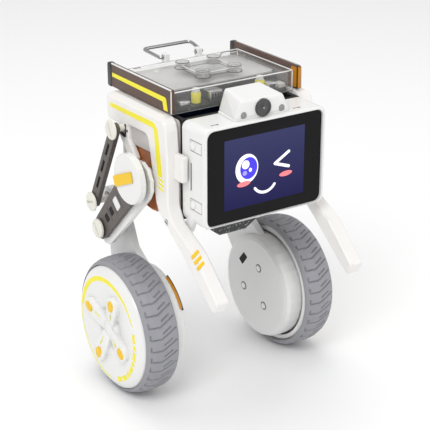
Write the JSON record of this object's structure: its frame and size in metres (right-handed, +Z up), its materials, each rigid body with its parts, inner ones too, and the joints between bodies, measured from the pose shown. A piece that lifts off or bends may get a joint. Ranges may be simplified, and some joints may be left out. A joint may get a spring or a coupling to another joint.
{
  "type": "two wheel robot car",
  "caption": "Self-balancing robot car with two wheels on linked folding legs, a screen head with camera, forward rest arms, a clear roof box and a bail handle.",
  "frame": {"origin": "on the floor, under the centre of the whole car's bounding box", "axes": "+X to the robot's own left, along the wheels' axle; -Y forwards, the way the screen faces; +Z up"},
  "size_m": [0.1104, 0.0985, 0.1457],
  "materials": {
    "chassis_frame": "satin black",
    "belly_pan": "speckled matt dark grey",
    "battery_pack": "shrink sleeve",
    "speaker": "matt",
    "head_shell": "gloss white",
    "screen_glass": "polished black glass",
    "display_module": "gloss",
    "camera_housing": "gloss white",
    "camera_lens": "polished",
    "top_housing": "clear polycarbonate",
    "top_hatch": "clear polycarbonate",
    "main_board": "solder mask",
    "compute_module": "bead blasted",
    "right_side_cover": "gloss white",
    "right_inner_panel": "satin light grey",
    "right_servo_gearbox": "smoked amber polycarbonate",
    "right_leg_servo": "satin black",
    "right_side_window": "smoked polycarbonate",
    "right_handle_clip": "clear polycarbonate",
    "right_pivot_pin": "satin",
    "left_side_cover": "gloss white",
    "left_inner_panel": "satin light grey",
    "left_servo_gearbox": "smoked amber polycarbonate",
    "left_leg_servo": "satin black",
    "left_side_window": "smoked polycarbonate",
    "left_handle_clip": "clear polycarbonate",
    "left_pivot_pin": "satin",
    "right_thigh_plate": "satin graphite",
    "right_thigh_band": "gloss white",
    "right_hip_cap": "gloss white",
    "right_hip_cap_bar": "gloss amber",
    "right_rod_link": "satin graphite",
    "right_rod_pin": "satin",
    "right_shank": "satin light grey",
    "right_knee_pin": "satin",
    "right_wheel_motor": "turned",
    "right_tyre": "matt light grey rubber",
    "right_wheel_hub": "gloss white",
    "right_hub_cap": "gloss white",
    "right_upper_button": "gloss white",
    "right_lower_button": "gloss white",
    "left_thigh_plate": "satin graphite",
    "left_thigh_band": "gloss white",
    "left_hip_cap": "gloss white",
    "left_hip_cap_bar": "gloss amber",
    "left_rod_link": "satin graphite",
    "left_rod_pin": "satin",
    "left_shank": "satin light grey",
    "left_knee_pin": "satin",
    "left_wheel_motor": "turned",
    "left_tyre": "matt light grey rubber",
    "left_wheel_hub": "gloss white",
    "left_hub_cap": "gloss white",
    "left_upper_button": "gloss white",
    "left_lower_button": "gloss white",
    "carry_handle": "bright wire"
  },
  "bodies": {
    "body": {"chassis_frame": "chassis_frame", "belly_pan": "belly_pan", "battery_pack": "battery_pack", "speaker": "speaker", "head_shell": "head_shell", "screen_glass": "screen_glass", "display_module": "display_module", "camera_housing": "camera_housing", "camera_lens": "camera_lens", "top_housing": "top_housing", "top_hatch": "top_hatch", "main_board": "main_board", "compute_module": "compute_module", "right_side_cover": "right_side_cover", "right_inner_panel": "right_inner_panel", "right_servo_gearbox": "right_servo_gearbox", "right_leg_servo": "right_leg_servo", "right_side_window": "right_side_window", "right_handle_clip": "right_handle_clip", "right_pivot_pin": "right_pivot_pin", "left_side_cover": "left_side_cover", "left_inner_panel": "left_inner_panel", "left_servo_gearbox": "left_servo_gearbox", "left_leg_servo": "left_leg_servo", "left_side_window": "left_side_window", "left_handle_clip": "left_handle_clip", "left_pivot_pin": "left_pivot_pin"},
    "right_thigh": {"right_thigh_plate": "right_thigh_plate", "right_thigh_band": "right_thigh_band", "right_hip_cap": "right_hip_cap", "right_hip_cap_bar": "right_hip_cap_bar"},
    "right_rod": {"right_rod_link": "right_rod_link", "right_rod_pin": "right_rod_pin"},
    "right_lower_leg": {"right_shank": "right_shank", "right_knee_pin": "right_knee_pin", "right_wheel_motor": "right_wheel_motor"},
    "right_wheel": {"right_tyre": "right_tyre", "right_wheel_hub": "right_wheel_hub", "right_hub_cap": "right_hub_cap"},
    "right_upper_button_body": {"right_upper_button": "right_upper_button"},
    "right_lower_button_body": {"right_lower_button": "right_lower_button"},
    "left_thigh": {"left_thigh_plate": "left_thigh_plate", "left_thigh_band": "left_thigh_band", "left_hip_cap": "left_hip_cap", "left_hip_cap_bar": "left_hip_cap_bar"},
    "left_rod": {"left_rod_link": "left_rod_link", "left_rod_pin": "left_rod_pin"},
    "left_lower_leg": {"left_shank": "left_shank", "left_knee_pin": "left_knee_pin", "left_wheel_motor": "left_wheel_motor"},
    "left_wheel": {"left_tyre": "left_tyre", "left_wheel_hub": "left_wheel_hub", "left_hub_cap": "left_hub_cap"},
    "left_upper_button_body": {"left_upper_button": "left_upper_button"},
    "left_lower_button_body": {"left_lower_button": "left_lower_button"},
    "handle": {"carry_handle": "carry_handle"}
  },
  "joints": [
    {"name": "right_hip", "type": "hinge", "parent": "body", "child": "right_thigh", "pos_m": [-0.043, 0.00587, 0.1034], "axis": [1, 0, 0], "range_deg": [-8, 14]},
    {"name": "right_knee", "type": "hinge", "parent": "right_thigh", "child": "right_lower_leg", "pos_m": [-0.038, 0.03637, 0.0699], "axis": [1, 0, 0], "range_deg": [-31, 18]},
    {"name": "right_rod_pivot", "type": "hinge", "parent": "body", "child": "right_rod", "pos_m": [-0.0425, 0.02217, 0.1204], "axis": [1, 0, 0], "range_deg": [-10, 17]},
    {"name": "right_wheel_spin", "type": "hinge", "parent": "right_lower_leg", "child": "right_wheel", "pos_m": [-0.045, 0.01487, 0.0312], "axis": [1, 0, 0], "continuous": true},
    {"name": "right_upper_button_press", "type": "slide", "parent": "body", "child": "right_upper_button_body", "axis": [1, 0, 0], "range_m": [0, 0.0006], "stiffness_N_per_m": 400},
    {"name": "right_lower_button_press", "type": "slide", "parent": "body", "child": "right_lower_button_body", "axis": [1, 0, 0], "range_m": [0, 0.0006], "stiffness_N_per_m": 400},
    {"name": "left_hip", "type": "hinge", "parent": "body", "child": "left_thigh", "pos_m": [0.043, 0.00587, 0.1034], "axis": [1, 0, 0], "range_deg": [-8, 14]},
    {"name": "left_knee", "type": "hinge", "parent": "left_thigh", "child": "left_lower_leg", "pos_m": [0.038, 0.03637, 0.0699], "axis": [1, 0, 0], "range_deg": [-31, 18]},
    {"name": "left_rod_pivot", "type": "hinge", "parent": "body", "child": "left_rod", "pos_m": [0.0425, 0.02217, 0.1204], "axis": [1, 0, 0], "range_deg": [-10, 17]},
    {"name": "left_wheel_spin", "type": "hinge", "parent": "left_lower_leg", "child": "left_wheel", "pos_m": [0.045, 0.01487, 0.0312], "axis": [1, 0, 0], "continuous": true},
    {"name": "left_upper_button_press", "type": "slide", "parent": "body", "child": "left_upper_button_body", "axis": [-1, 0, 0], "range_m": [0, 0.0006], "stiffness_N_per_m": 400},
    {"name": "left_lower_button_press", "type": "slide", "parent": "body", "child": "left_lower_button_body", "axis": [-1, 0, 0], "range_m": [0, 0.0006], "stiffness_N_per_m": 400},
    {"name": "handle_hinge", "type": "hinge", "parent": "body", "child": "handle", "pos_m": [0, 0.03567, 0.1436], "axis": [1, 0, 0], "range_deg": [0, 95]}
  ],
  "couplings": [
    {"joint": "right_knee", "follows": "right_hip", "ratio": -2.17},
    {"joint": "right_rod_pivot", "follows": "right_hip", "ratio": 1.195},
    {"joint": "left_knee", "follows": "left_hip", "ratio": -2.17},
    {"joint": "left_rod_pivot", "follows": "left_hip", "ratio": 1.195}
  ]
}
